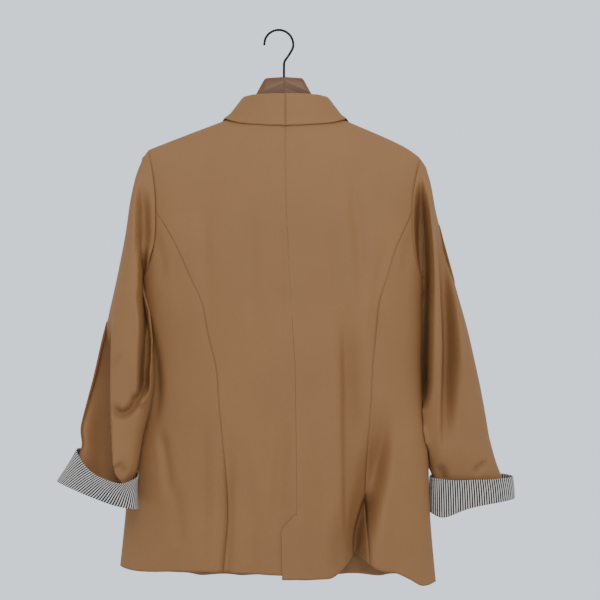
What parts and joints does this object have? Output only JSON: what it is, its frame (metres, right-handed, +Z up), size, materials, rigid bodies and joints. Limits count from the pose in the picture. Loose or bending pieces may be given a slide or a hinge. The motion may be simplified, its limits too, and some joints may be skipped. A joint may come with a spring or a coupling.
{
  "type": "shawl lapel blazer on a hanger",
  "caption": "Long blazer with a shawl lapel, turned-back striped cuffs and a short back vent, hanging on a plain wooden hanger with a steel hook.",
  "frame": {"origin": "inner top of the hanger hook's crook, where a rail carries it", "axes": "+Z up, +Y towards the garment's back, -Y its front, +X towards the wearer's left"},
  "size_m": [0.703, 0.1382, 0.8596],
  "materials": {
    "cloth": "camel suiting, smooth twill with a slight sheen",
    "cuff_stripe": "white and charcoal pinstripe lining cloth",
    "button": "dark horn-look, polished",
    "hanger_wood": "stained hardwood, satin lacquer",
    "hanger_steel": "blackened steel wire"
  },
  "bodies": {
    "root": {"back_left": "cloth", "back_right": "cloth", "side_back_left": "cloth", "side_back_right": "cloth", "front_left": "cloth", "front_right": "cloth", "collar_left": "cloth", "collar_right": "cloth", "top_sleeve_left": "cloth", "top_sleeve_right": "cloth", "under_sleeve_left": "cloth", "under_sleeve_right": "cloth", "cuff_left": "cuff_stripe", "cuff_right": "cuff_stripe", "button": "button", "hanger_wood": "hanger_wood", "hanger_hook": "hanger_steel"}
  },
  "joints": []
}
